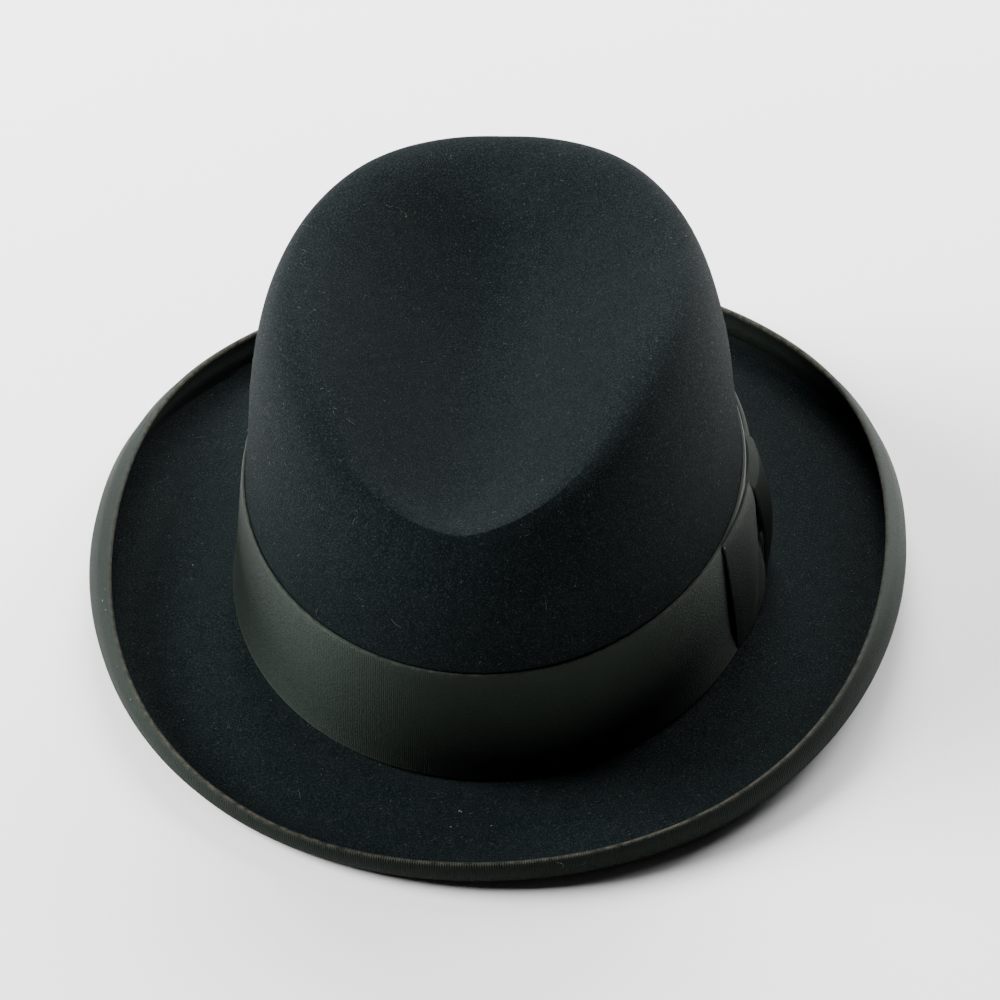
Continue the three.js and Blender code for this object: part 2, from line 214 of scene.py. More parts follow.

# The band's section from its foot to its top edge
# up: share of its height; hug: share of the full lean of its edges towards the crown;
# ribs: share of the ribs' depth; selvage: paler threads of its edge, whose paler colour is partly a painted
# highlight where the edge catches light
BAND_SECTION = table(
    "up hug ribs selvage",
    (0.0, -0.4, 0.3, 0.8),
    (0.008, -0.85, 0.8, 0.9),
    (0.03, -0.75, 1.0, 0.0),
    (0.2, -0.1, 1.0, 0.0),
    (0.4, 0.0, 1.0, 0.0),
    (0.6, 0.0, 1.0, 0.0),
    (0.8, 0.0, 1.0, 0.0),
    (0.93, 0.03, 1.0, 0.0),
    (0.97, 0.2, 1.0, 0.0),
    (0.984, 0.36, 0.9, 0.2),
    (0.993, 0.52, 0.6, 1.0),
    (1.0, 1.0, 0.3, 1.0),
)

# Pale specks of dust, and hairs where the length is more than HAIR_LEAST_LENGTH
# turn: place round the hat in degrees; place: degrees below the rolled edge on the binding, or
# share of the way from the curl to the crown on the brim; length in millimetres
BINDING_SPECKS = table(
    "turn place length",
    (-72.5, 2, 0.5),
    (-71, 8, 0.5),
    (-69, 3, 0.7),
    (-67, 27, 0.5),
    (-60, 5, 0.4),
    (-54.5, 4, 0.6),
    (11, 12, 3.6),
    (14, 7, 4.2),
)
BRIM_SPECKS = table(
    "turn place length",
    (-101, 0.44, 0.5),
    (-85, 0.61, 0.5),
    (-75.5, 0.36, 0.6),
    (-74, 0.27, 0.6),
    (-66.5, 0.1, 0.4),
    (-4.5, 0.42, 0.5),
    (-3.5, 0.61, 0.5),
    (-3, 0.61, 0.4),
    (2, 0.44, 0.5),
)
SPECK_THICKNESS = 0.35
HAIR_THICKNESS = 0.09
HAIR_LEAST_LENGTH = 1.0

# Stitches that hold the front loop's fold: place up its half height, and length
TACK_STITCHES = table(
    "up length",
    (-0.99, 1.0),
    (0.97, 1.3),
    (1.0, 1.5),
)
STITCH_THICKNESS = 0.3
STITCH_CLEARANCE = 0.1

# Loose fibres on the felt: how many, shortest and longest length
FIBRES = {
    "nap_fibres": (2400, 0.4, 1.2),
    "lint_fibres": (30, 2.0, 5.0),
}
FIBRE_THICKNESS = 0.05
FIBRE_TAPER = (0.4, 1, 1, 1, 0.8, 0.3)
FIBRE_SIDES = 3
FIBRE_BEND = 1.1
FIBRE_LIFT = (0.02, 0.3)
FIBRE_LIFT_LENGTH = 1.5
FIBRE_CLEARANCE = 0.04

# How finely the felt is divided
FELT_COLUMNS = 336
CURL_ROWS = 14
BRIM_ROWS = 10
FILLET_ROWS = 3
WALL_ROWS = 8
RIDGE_ROWS = 26
TROUGH_ROWS = 26
TROUGH_ROW_POWER = 1.6
RIDGE_STEPS = 34
LENGTH_STEPS = 20000

# Camera at the photograph's angle to the hat
CAMERA_AZIMUTH = 3.85
CAMERA_ELEVATION = 39.27
CAMERA_ROLL = -1.93
CAMERA_DISTANCE = 851.08
CAMERA_TARGET = (1.34, -4.77, 26.72)
CAMERA_LENS = 94.33
CAMERA_SENSOR_WIDTH = 36.0

# Round soft lights: azimuth and elevation in degrees, power in watts
LIGHTS = {
    "left_box": (270, 35, 114.0),
    "back_box": (180, 38, 72.0),
    "right_box": (135, 35, 30.0),
    "low_box": (138, 15, 24.0),
    "top_box": (180, 85, 7.0),
}
LIGHT_DISTANCE = 1800.0
LIGHT_WIDTH = 1000.0
LIGHT_AIM = (0, 0, 50.0)
WORLD_STRENGTH = 0.02

# Pale ground
FLOOR_HALF_WIDTH = 6000.0
FLOOR_GAP = 0.2
FLOOR_GREY = 0.85

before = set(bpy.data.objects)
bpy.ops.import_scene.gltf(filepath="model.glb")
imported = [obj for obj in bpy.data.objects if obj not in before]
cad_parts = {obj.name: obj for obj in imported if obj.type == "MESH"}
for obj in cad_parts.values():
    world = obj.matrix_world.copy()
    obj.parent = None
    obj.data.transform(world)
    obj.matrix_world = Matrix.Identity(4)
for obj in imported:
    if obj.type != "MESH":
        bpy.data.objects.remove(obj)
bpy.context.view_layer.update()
rng = np.random.default_rng(seed=1947)


# Curves and surfaces

def table_value(table, column, at):
    """Smooth curve through one column of a table whose rows are placed by their along column."""
    along = table["along"]
    value = table[column]
    row = np.clip(np.searchsorted(along, at, side="right") - 1, 0, len(along) - 2)
    span = along[row + 1] - along[row]
    share = np.clip((at - along[row]) / span, 0, 1)

    def slope(low, high):
        return span * (value[high] - value[low]) / (along[high] - along[low])

    square = share ** 2
    cube = share ** 3
    return (
        (2 * cube - 3 * square + 1) * value[row]
        + (cube - 2 * square + share) * slope(np.maximum(row - 1, 0), row + 1)
        + (3 * square - 2 * cube) * value[row + 1]
        + (cube - square) * slope(row, np.minimum(row + 2, len(along) - 1))
    )


def mix(low, high, share):
    return low + (high - low) * share


def smooth_step(share):
    share = np.clip(share, 0, 1)
    return share * share * (3 - 2 * share)


def stack(x, y, z):
    return np.stack(np.broadcast_arrays(x, y, z), axis=-1).astype(float)


def oval_point(t, half_width, half_length, forward, height):
    return stack(half_width * np.sin(t), -forward - half_length * np.cos(t), height)


def oval_normal(t, half_width, half_length):
    normal = stack(half_length * np.sin(t), -half_width * np.cos(t), 0 * t)
    return normal / np.linalg.norm(normal, axis=-1, keepdims=True)


def side_share(t):
    return np.sin(t) ** 2


def foot_height(t):
    return mix(CROWN_FOOT_FRONT, CROWN_FOOT_SIDE, side_share(t))


def wall_point(t, height, outward):
    """Point on the crown's outer wall at a height, moved outward by a distance."""
    share = (height - CROWN_FOOT_FRONT) / SHOULDER_HEIGHT
    half_width = mix(HEAD_HALF_WIDTH, SHOULDER_HALF_WIDTH, share)
    half_length = mix(HEAD_HALF_LENGTH, SHOULDER_HALF_LENGTH, share)
    point = oval_point(t, half_width, half_length, CROWN_FORWARD + SHOULDER_FORWARD * share, height)
    normal = oval_normal(t + 0 * height, HEAD_HALF_WIDTH, HEAD_HALF_LENGTH)
    return point + normal * np.expand_dims(outward + 0 * height + 0 * t, -1)


def fillet_point(t, share):
    angle = share * math.pi / 2
    height = foot_height(t) + FOOT_FILLET * (1 - np.cos(angle))
    return wall_point(t, height, FOOT_FILLET * (1 - np.sin(angle)))


def crown_wall_point(t, share):
    height = mix(foot_height(t) + FOOT_FILLET, CROWN_FOOT_FRONT + SHOULDER_HEIGHT, share)
    return wall_point(t, height, 0.0)


def smooth_minimum(first, second, roll):
    nearness = np.maximum(roll - np.abs(first - second), 0) / roll
    return np.minimum(first, second) - roll * nearness ** 2 / 4


def trough_at(x, y):
    """Height of the crease's trough above the crown's foot, and how softly the felt turns into it."""
    along = (y + CROWN_FORWARD + SHOULDER_FORWARD) / SHOULDER_HALF_LENGTH
    floor = CROWN_HEIGHT * table_value(CREASE, "floor", along)
    steepness = CROWN_HEIGHT * table_value(CREASE, "steepness", along)
    roll = CROWN_HEIGHT * table_value(CREASE, "roll", along)
    aside = np.abs(x - CREASE_SHIFT - CREASE_LEAN * y) / SHOULDER_HALF_WIDTH
    return floor + steepness * aside ** CREASE_TROUGH_POWER, roll


def open_crown_point(t, left):
    """Crown before creasing. left: 1 at the shoulder, 0 at the apex."""
    length_share = left ** (1 / DOME_LENGTH_POWER)
    half_width = SHOULDER_HALF_WIDTH * left ** (1 / DOME_WIDTH_POWER)
    forward = CROWN_FORWARD + mix(DOME_FORWARD, SHOULDER_FORWARD, length_share)
    height = SHOULDER_HEIGHT + DOME_HEIGHT * (1 - left) ** (1 / DOME_RISE_POWER)
    return oval_point(t, half_width, SHOULDER_HALF_LENGTH * length_share, forward, height)


def ridge_left(t):
    """What is left of the dome where it meets the trough."""
    inside = np.zeros_like(t)
    outside = np.ones_like(t)
    for _ in range(RIDGE_STEPS):
        middle = (inside + outside) / 2
        point = open_crown_point(t, middle)
        above = point[..., 2] > trough_at(point[..., 0], point[..., 1])[0]
        inside = np.where(above, middle, inside)
        outside = np.where(above, outside, middle)
    return outside


def creased_point(t, left):
    """Crown with its crease, whose lip is pinched sharper at the very front."""
    point = open_crown_point(t, left)
    height, roll = trough_at(point[..., 0], point[..., 1])
    from_lip = (point[..., 2] - height) / LIP_HALF_WIDTH
    aside = 2 * np.sin(t / 2) / LIP_REACH
    pinch = LIP_PINCH * np.exp(-(from_lip ** 2) - aside ** 2)
    point[..., 2] = CROWN_FOOT_FRONT + smooth_minimum(point[..., 2], height, roll) + pinch
    return point


def curl_centre_height(t):
    corner = CURL_CORNER_DROP * np.sin(2 * t) ** 2
    lift = CURL_SIDE_LIFT * side_share(t) - corner + CURL_LEFT_LIFT * np.sin(t)
    return CURL_RADIUS - REST_FLATTENING + lift


def curl_end(t):
    """Angle above level at which the rolled edge ends, in radians."""
    ends = mix(CURL_END_FRONT, CURL_END_BACK, (1 - np.cos(t)) / 2)
    uneven = CURL_END_UNEVENNESS * np.sin(3 * t)
    return np.radians(mix(ends, CURL_END_SIDE, side_share(t) ** 2) + uneven)


def curl_point(t, angle, radius):
    """Point about the curl's centre line, at an angle above level."""
    height = curl_centre_height(t) + radius * np.sin(angle)
    fullness = 1 + BRIM_CORNER_FULLNESS * np.sin(2 * t) ** 2
    point = oval_point(t, BRIM_HALF_WIDTH * fullness, BRIM_HALF_LENGTH * fullness, 0, height)
    outward = radius * np.cos(angle) - CURL_RADIUS
    return point + oval_normal(t, BRIM_HALF_WIDTH, BRIM_HALF_LENGTH) * np.expand_dims(outward, -1)


def curl_row(t, share, radius):
    return curl_point(t, mix(curl_end(t), -math.pi / 2, share), radius)


def edge_thinning(from_edge, greatest):
    return greatest * (1 - smooth_step(from_edge / EDGE_THINNING_REACH))


def brim_point(t, share):
    start = curl_row(t, 1.0, CURL_RADIUS - FELT_THICKNESS)
    end = fillet_point(t, 0.0)
    point = mix(start, end, share)
    point[..., 2] = mix(start[..., 2], end[..., 2], smooth_step(share))
    return point


# Meshes

def make_piece(name, points, faces, material, uvs=None, masks=None):
    """Smooth mesh from points and uvs in millimetres, with one uv for each face corner."""
    mesh = bpy.data.meshes.new(name)
    mesh.from_pydata((np.asarray(points) * MM).tolist(), [], faces)
    mesh.polygons.foreach_set("use_smooth", np.ones(len(mesh.polygons), bool))
    if uvs is not None:
        mesh.uv_layers.new(name="cloth").data.foreach_set("uv", np.asarray(uvs, float).ravel() * MM)
    for mask, values in (masks or {}).items():
        attribute = mesh.attributes.new(mask, "FLOAT", "POINT")
        attribute.data.foreach_set("value", np.asarray(values, np.float32).ravel())
    mesh.materials.append(material)
    mesh.update()
    piece = bpy.data.objects.new(name, mesh)
    bpy.context.scene.collection.objects.link(piece)
    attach(piece, "root")
    return piece


def strip_faces(first, second, columns):
    """Quads between two closed rows of points that start at these indices."""
    side = np.arange(columns)
    following = (side + 1) % columns
    return np.stack([first + side, first + following, second + following, second + side], axis=1)


def ribbon_piece(name, section, along, across, material, masks=None, turned=False):
    """Ribbon from a section of places by columns by 3, up the outside and down the inside.

    along has one length more than the columns where the ribbon is a closed ring. A turned
    ribbon's threads run up the section.
    """
    places, columns = section.shape[:2]
    spans = len(along) - 1
    near = np.arange(spans)
    far = (near + 1) % columns
    faces = []
    uvs = []
    for place in range(places):
        here = place * columns
        following = (place + 1) % places * columns
        faces.append(np.stack([here + near, here + far, following + far, following + near], axis=1))
        low = np.full(spans, across[place])
        high = np.full(spans, across[(place + 1) % places])
        corners = [(along[:-1], low), (along[1:], low), (along[1:], high), (along[:-1], high)]
        uvs.append(np.stack([np.stack(corner, axis=-1) for corner in corners], axis=1).reshape(-1, 2))
    faces = np.concatenate(faces).tolist()
    if spans < columns:
        for column, turn in ((0, -1), (columns - 1, 1)):
            for cap in end_caps(places):
                corners = cap[::turn]
                faces.append([place * columns + column for place in corners])
                depths = [BOW_THICKNESS * (place > places // 2) for place in corners]
                uvs.append([(along[column] + depth, across[place]) for place, depth in zip(corners, depths)])
    uvs = np.concatenate(uvs)
    if turned:
        uvs = uvs[:, ::-1]
    return make_piece(name, section.reshape(-1, 3), faces, material, uvs, masks)


def end_caps(places):
    """Faces that close a sheet's end, whose section runs up, round a nose, down and round a nose."""
    high = places // 2 - 1
    caps = [(place, place + 1, places - 3 - place, places - 2 - place) for place in range(high - 1)]
    return caps + [(high - 1, high, high + 1), (0, places - 2, places - 1)]


def even_turns(point_at, columns):
    """Angles that divide a closed line into equal lengths, and the lengths to them and to the end."""
    fine = np.linspace(0, TAU, LENGTH_STEPS + 1)
    steps = np.linalg.norm(np.diff(point_at(fine), axis=0), axis=1)
    length = np.concatenate([[0], np.cumsum(steps)])
    along = np.linspace(0, length[-1], columns + 1)
    return np.interp(along, length, fine)[:-1], along


def rib_heights(ribs, depth):
    """Ridge and groove of each rib across its columns, no two ribs quite alike."""
    phase = TAU * np.arange(COLUMNS_PER_RIB) / COLUMNS_PER_RIB
    profile = (np.cos(phase) - 1) / 2
    strength = rng.uniform(1 - RIB_UNEVENNESS, 1 + RIB_UNEVENNESS, ribs)
    return depth * (strength[:, None] * profile).ravel()


def rib_clearness(t):
    """Share of the ribs' depth: full at the front and back, pressed smooth at the sides."""
    return mix(SIDE_RIB_CLEARNESS, 1, (1 - side_share(t)) ** 2)


def ribbed_turns(point_at, pitch, depth):
    """Angles of a closed ribbon's columns, the lengths to them and to the end, and the ribs' relief."""
    length = even_turns(point_at, 1)[1][-1]
    ribs = round(length / pitch)
    t, along = even_turns(point_at, ribs * COLUMNS_PER_RIB)
    return t, along, rib_heights(ribs, depth) * rib_clearness(t)


# Node materials

class Shader:
    """Principled material with a few short ways to add nodes."""

    def __init__(self, name, **constants):
        self.material = bpy.data.materials.new(name)
        self.material.use_nodes = True
        self.tree = self.material.node_tree
        self.bsdf = self.tree.nodes["Principled BSDF"]
        for socket, value in constants.items():
            self.bsdf.inputs[socket.replace("_", " ")].default_value = value

    def node(self, kind, inputs=None, **settings):
        node = self.tree.nodes.new("ShaderNode" + kind)
        for setting, value in settings.items():
            setattr(node, setting, value)
        for socket, value in (inputs or {}).items():
            self.feed(node.inputs[socket], value)
        return node

    def feed(self, socket, value):
        if isinstance(value, bpy.types.NodeSocket):
            self.tree.links.new(value, socket)
        else:
            socket.default_value = value

    def place(self):
        return self.node("TexCoord").outputs["Object"]

    def mask(self, name):
        return self.node("Attribute", attribute_name=name).outputs["Fac"]

    def noise(self, scale, detail=2.0, roughness=0.5):
        inputs = {"Vector": self.place(), "Scale": scale, "Detail": detail, "Roughness": roughness}
        return self.node("TexNoise", inputs).outputs["Fac"]

    def math(self, operation, first, second):
        node = self.node("Math", operation=operation)
        self.feed(node.inputs[0], first)
        self.feed(node.inputs[1], second)
        return node.outputs[0]

    def rescale(self, value, low, high, to_low=0.0, to_high=1.0):
        inputs = {"Value": value, "From Min": low, "From Max": high, "To Min": to_low, "To Max": to_high}
        return self.node("MapRange", inputs, clamp=True).outputs["Result"]

    def blend(self, share, first, second):
        node = self.node("Mix", data_type="RGBA")
        self.feed(node.inputs["Factor"], share)
        self.feed(node.inputs["A"], first)
        self.feed(node.inputs["B"], second)
        return node.outputs["Result"]

    def bump(self, height, distance, strength):
        inputs = {"Height": height, "Distance": distance, "Strength": strength}
        return self.node("Bump", inputs).outputs["Normal"]

    def finish(self, colour, roughness, normal):
        self.feed(self.bsdf.inputs["Base Color"], colour)
        self.feed(self.bsdf.inputs["Roughness"], roughness)
        self.feed(self.bsdf.inputs["Normal"], normal)
        return self.material


def colour(red, green, blue):
    return (red, green, blue, 1.0)


def felt_material():
    """Short-napped felt: clouded and mottled black, with a paler nap and a few pale flecks."""
    dark = colour(0.0015, 0.0028, 0.0032)
    light = colour(0.0021, 0.0034, 0.0038)
    mottled = colour(0.0034, 0.0048, 0.005)
    napped = colour(0.0085, 0.0132, 0.0138)
    flecked = colour(0.045, 0.042, 0.034)
    shader = Shader("fur_felt", Specular_IOR_Level=0.042, Specular_Tint=colour(0.74, 0.97, 1.0))
    cloud = shader.rescale(shader.noise(scale=26.0, detail=3.0), low=0.3, high=0.7)
    mottle = shader.rescale(shader.noise(scale=190.0, detail=3.0, roughness=0.6), low=0.35, high=0.65)
    nap = shader.rescale(shader.noise(scale=1950.0, roughness=0.7), low=0.5, high=0.63)
    fleck = shader.rescale(shader.noise(scale=1900.0, detail=1.0), low=0.7, high=0.78)
    base = shader.blend(cloud, dark, light)
    base = shader.blend(mottle, base, mottled)
    base = shader.blend(nap, base, napped)
    base = shader.blend(fleck, base, flecked)
    roughness = shader.rescale(nap, low=0.0, high=1.0, to_low=0.8, to_high=0.6)
    hairs = shader.noise(scale=2900.0, detail=3.0, roughness=0.8)
    return shader.finish(base, roughness, shader.bump(hairs, distance=0.0005, strength=0.8))


def ribbon_material(name, gloss, dark, light, worn_and_highlight):
    """Grosgrain that shines across its lengthwise threads.

    The ribs are in the mesh. The threads and the paler parts are in the material. Paler edges and
    folds are partly abrasion and partly a painted highlight; the binding's paler outer leg is partly
    paled with age and partly painted light, leaving painted shade on its inner leg and between its ribs.
    """
    # Paler colour of the binding's outer leg, partly age and partly painted light beside the inner leg's
    # painted shade
    faded_and_lit = colour(0.0155, 0.019, 0.0167)
    pale_thread = colour(0.012, 0.014, 0.0115)
    thread_strength = 0.35
    shader = Shader(
        name,
        Specular_IOR_Level=gloss,
        Specular_Tint=colour(0.72, 1.0, 0.8),
        Anisotropic=0.85,
        Anisotropic_Rotation=0.25,
    )
    threads_run = shader.node("Tangent", direction_type="UV_MAP", uv_map="cloth")
    shader.feed(shader.bsdf.inputs["Tangent"], threads_run.outputs["Tangent"])
    patch = shader.rescale(shader.noise(scale=240.0, detail=4.0, roughness=0.6), low=0.3, high=0.7)
    thread = shader.rescale(shader.noise(scale=1700.0, roughness=0.6), low=0.3, high=0.7)
    base = shader.blend(patch, dark, light)
    # Binding's outer leg paler: partly age, partly painted light, with the inner leg and the hollows between
    # the ribs left darker as painted shade
    base = shader.blend(shader.mask("faded_and_lit"), base, faded_and_lit)
    base = shader.blend(shader.math("MULTIPLY", thread, thread_strength), base, pale_thread)
    # Paler edges and folds, partly abrasion and partly a painted highlight where they catch light, broken
    # into patches
    uneven_wear_and_highlight = shader.rescale(shader.noise(scale=420.0, detail=4.0, roughness=0.7), low=0.35, high=0.65)
    base = shader.blend(shader.math("MULTIPLY", shader.mask("wear_and_highlight"), uneven_wear_and_highlight), base, worn_and_highlight)
    sheen = shader.rescale(thread, low=0.0, high=1.0, to_low=0.42, to_high=0.52)
    roughness = shader.math("MAXIMUM", sheen, shader.mask("edge"))
    weave = shader.noise(scale=2000.0, roughness=0.6)
    return shader.finish(base, roughness, shader.bump(weave, distance=0.0003, strength=0.7))


def fibre_material():
    grey = colour(0.05, 0.06, 0.062)
    pale = colour(0.2, 0.19, 0.15)
    shader = Shader("pale_fibre", Specular_IOR_Level=0.3)
    base = shader.blend(shader.rescale(shader.noise(scale=90.0), low=0.4, high=0.6), grey, pale)
    fine = shader.noise(scale=3000.0, detail=1.0)
    return shader.finish(base, roughness=0.7, normal=shader.bump(fine, distance=0.00002, strength=0.3))


def leather_material():
    light = colour(0.085, 0.042, 0.022)
    dark = colour(0.045, 0.022, 0.013)
    shader = Shader("sweatband_leather", Specular_IOR_Level=0.4)
    stain = shader.rescale(shader.noise(scale=35.0, detail=4.0, roughness=0.6), low=0.3, high=0.7)
    base = shader.blend(stain, light, dark)
    roughness = shader.rescale(stain, low=0.0, high=1.0, to_low=0.5, to_high=0.38)
    cells = shader.node("TexVoronoi", {"Vector": shader.place(), "Scale": 1100.0}).outputs["Distance"]
    return shader.finish(base, roughness, shader.bump(cells, distance=0.0002, strength=0.6))


# The hat's pieces

def grid_normals(grid):
    """Outward normals of rows of closed rings."""
    around = np.roll(grid, -1, axis=1) - np.roll(grid, 1, axis=1)
    down = np.gradient(grid, axis=0)
    normal = np.cross(around, down)
    return normal / np.linalg.norm(normal, axis=-1, keepdims=True)


def even_shares(count):
    return np.linspace(0, 1, count + 1)


def felt_upper_rows(t, thinning):
    """Upper skin from the rolled edge across the brim, up the crown and into its crease."""
    ridge = ridge_left(t)
    ridge_height = (1 - ridge) ** (1 / DOME_RISE_POWER)
    rows = [
        curl_row(t, share, CURL_RADIUS - FELT_THICKNESS + thin)
        for share, thin in zip(even_shares(CURL_ROWS), thinning)
    ]
    rows += [brim_point(t, share) for share in even_shares(BRIM_ROWS)[1:]]
    rows += [fillet_point(t, share) for share in even_shares(FILLET_ROWS)[1:]]
    rows += [crown_wall_point(t, share) for share in even_shares(WALL_ROWS)[1:]]
    for share in np.sin(even_shares(RIDGE_ROWS) * math.pi / 2)[1:]:
        rows.append(creased_point(t, 1 - (share * ridge_height) ** DOME_RISE_POWER))
    for share in 1 - even_shares(TROUGH_ROWS)[1:-1] ** TROUGH_ROW_POWER:
        rows.append(creased_point(t, ridge * share ** DOME_WIDTH_POWER))
    return np.array(rows)


def felt_faces(rows):
    """Faces between an upper skin, a lower skin, the rolled edge's row and two poles, in this order."""
    skin = rows * FELT_COLUMNS
    last = skin - FELT_COLUMNS
    strips = [strip_faces(row, row + FELT_COLUMNS, FELT_COLUMNS) for row in range(0, last, FELT_COLUMNS)]
    upper = np.concatenate(strips)
    lower = upper[:, ::-1] + skin
    lower_rim = strip_faces(skin, 2 * skin, FELT_COLUMNS)
    upper_rim = strip_faces(2 * skin, 0, FELT_COLUMNS)
    side = np.arange(FELT_COLUMNS)
    following = (side + 1) % FELT_COLUMNS
    pole = np.full(FELT_COLUMNS, 2 * skin + FELT_COLUMNS)
    upper_fan = np.stack([last + side, last + following, pole], axis=1)
    lower_fan = np.stack([skin + last + following, skin + last + side, pole + 1], axis=1)
    quads = np.concatenate([upper, lower, lower_rim, upper_rim])
    return quads.tolist() + upper_fan.tolist() + lower_fan.tolist()


def felt_body(material):
    """Hollow felt wall of crown and brim. Its upper skin's grid is handed back for the fibres."""
    t = TAU * np.arange(FELT_COLUMNS) / FELT_COLUMNS
    curl_length = CURL_RADIUS * (curl_end(t) + math.pi / 2)
    curl_shares = even_shares(CURL_ROWS)
    thinning = [edge_thinning(curl_length * share, FELT_EDGE_THINNING) for share in curl_shares]
    upper = felt_upper_rows(t, thinning)
    lower = upper - FELT_THICKNESS * grid_normals(upper)
    for row, share in enumerate(curl_shares):
        lower[row] = curl_row(t, share, CURL_RADIUS - thinning[row])
    lower[..., 2] = np.maximum(lower[..., 2], 0)
    middle = CURL_RADIUS - FELT_THICKNESS / 2
    edge = curl_point(t, curl_end(t) + (FELT_THICKNESS / 2 - FELT_EDGE_THINNING) / middle, middle)
    pole = creased_point(np.zeros(1), np.zeros(1))
    pole_below = pole - (0, 0, FELT_THICKNESS)
    points = np.concatenate([upper.reshape(-1, 3), lower.reshape(-1, 3), edge, pole, pole_below])
    piece = make_piece("fur_felt_body", points, felt_faces(len(upper)), material)
    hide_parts("felt_body")
    return upper


def band_foot(t):
    return foot_height(t) + BAND_FOOT_CLEARANCE


def hat_band(material):
    """Ribbon round the crown's foot, ribbed outside and plain where it lies on the felt."""
    outside = RIBBON_GAP + BAND_THICKNESS

    def line(t):
        return wall_point(t, band_foot(t) + BAND_HEIGHT / 2, outside)

    t, along, relief = ribbed_turns(line, BAND_RIB_PITCH, BAND_RIB_DEPTH)
    bare = np.abs(t - math.radians(BOW_ANGLE)) > angle_of(KNOT_WIDTH / 2 + LOOP_LENGTH)
    section = []
    across = []
    wear_and_highlight = []
    for row in BAND_SECTION:
        height = band_foot(t) + BAND_HEIGHT * row["up"]
        section.append(wall_point(t, height, outside - BAND_EDGE_HUG * row["hug"] + relief * row["ribs"]))
        across.append(BAND_HEIGHT * row["up"])
        # Paler selvage, partly a painted highlight where the edge catches light, and less of it where the
        # bow covers the band
        wear_and_highlight.append(row["selvage"] * mix(BAND_COVERED_WEAR_AND_HIGHLIGHT, 1, bare))
    section.append(wall_point(t, band_foot(t) + BAND_HEIGHT - RIBBON_GAP, RIBBON_GAP / 3))
    section.append(wall_point(t, foot_height(t) + FOOT_FILLET + RIBBON_GAP, RIBBON_GAP))
    across += [BAND_HEIGHT + BAND_THICKNESS, 2 * BAND_HEIGHT]
    wear_and_highlight += [0 * t, 0 * t]
    edge = np.repeat(np.append(BAND_SECTION["selvage"], [0, 0])[:, None], len(t), axis=1)
    masks = {"wear_and_highlight": np.array(wear_and_highlight), "edge": edge}
    piece = ribbon_piece("grosgrain_band", np.array(section), along, across, material, masks)
    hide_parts("hat_band")


def binding_outer_arc(t):
    outer_radius = CURL_RADIUS + RIBBON_GAP + BINDING_THICKNESS
    room = (curl_centre_height(t) - BINDING_FLOOR_CLEARANCE) / outer_radius
    return np.minimum(BINDING_OUTER_REACH / CURL_RADIUS, curl_end(t) + np.arcsin(np.minimum(room, 1)))


def brim_binding(material):
    """Ribbon folded over the rolled edge, with a leg outside the curl and one inside it."""
    middle = CURL_RADIUS - FELT_THICKNESS / 2

    def nose_line(t):
        return curl_point(t, curl_end(t), CURL_RADIUS)

    t, along, relief = ribbed_turns(nose_line, BINDING_RIB_PITCH, BINDING_RIB_DEPTH)
    end = curl_end(t)
    outer_arc = binding_outer_arc(t)
    inner_arc = BINDING_INNER_REACH / CURL_RADIUS

    def skin_rows(distance, greatest_thinning):
        """Rows at a distance from the felt, from the outer leg's edge to the inner leg's."""
        rows = []
        for share in BINDING_OUTER_SHARES:
            off = distance - edge_thinning(CURL_RADIUS * outer_arc * share, greatest_thinning)
            rows.append(curl_point(t, end - outer_arc * share, CURL_RADIUS + off))
        for turn in BINDING_FOLD_TURNS:
            angle = turn * math.pi / 2
            reach = FELT_THICKNESS / 2 + distance - greatest_thinning
            rows.append(curl_point(t, end + reach * np.cos(angle) / middle, middle - reach * np.sin(angle)))
        for share in BINDING_INNER_SHARES:
            off = distance - edge_thinning(CURL_RADIUS * inner_arc * share, greatest_thinning)
            rows.append(curl_point(t, end - inner_arc * share, CURL_RADIUS - FELT_THICKNESS - off))
        return rows

    outer = skin_rows(RIBBON_GAP + BINDING_THICKNESS + relief, BINDING_EDGE_THINNING)
    inner = skin_rows(RIBBON_GAP + 0 * relief, BINDING_BACK_THINNING)
    section = np.array(outer + [inner[row] for row in BINDING_BACK_ROWS])
    across = np.linspace(0, BINDING_OUTER_REACH + BINDING_INNER_REACH + BINDING_FOLD_LENGTH, len(section))
    # Painted shade in the hollows between the ribs: there the paler colours are taken down
    groove_shade = -relief / BINDING_RIB_DEPTH
    fold = len(BINDING_OUTER_SHARES)
    # Paler fold, partly abrasion and partly a painted highlight where the fold catches light
    wear_and_highlight = np.zeros(section.shape[:2])
    wear_and_highlight[fold:fold + len(BINDING_FOLD_TURNS)] = np.outer(BINDING_FOLD_WEAR_AND_HIGHLIGHT, 1 - GROOVE_SHADE_ON_WEAR * groove_shade)
    # Paler outer leg, partly age and partly painted light: lighter at the sides, where the light falls, than
    # at the front and back, and leaving the inner leg in painted shade
    side_light_share = mix(BINDING_FRONT_FADING_AND_LIGHT, 1, side_share(t))
    faded_and_lit = np.zeros(section.shape[:2])
    faded_and_lit[:BINDING_FADED_AND_LIT_ROWS] = side_light_share * (1 - GROOVE_SHADE_ON_FADING * groove_shade)
    masks = {"wear_and_highlight": wear_and_highlight, "edge": wear_and_highlight, "faded_and_lit": faded_and_lit}
    piece = ribbon_piece("grosgrain_binding", section, along, across, material, masks)
    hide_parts("brim_binding")


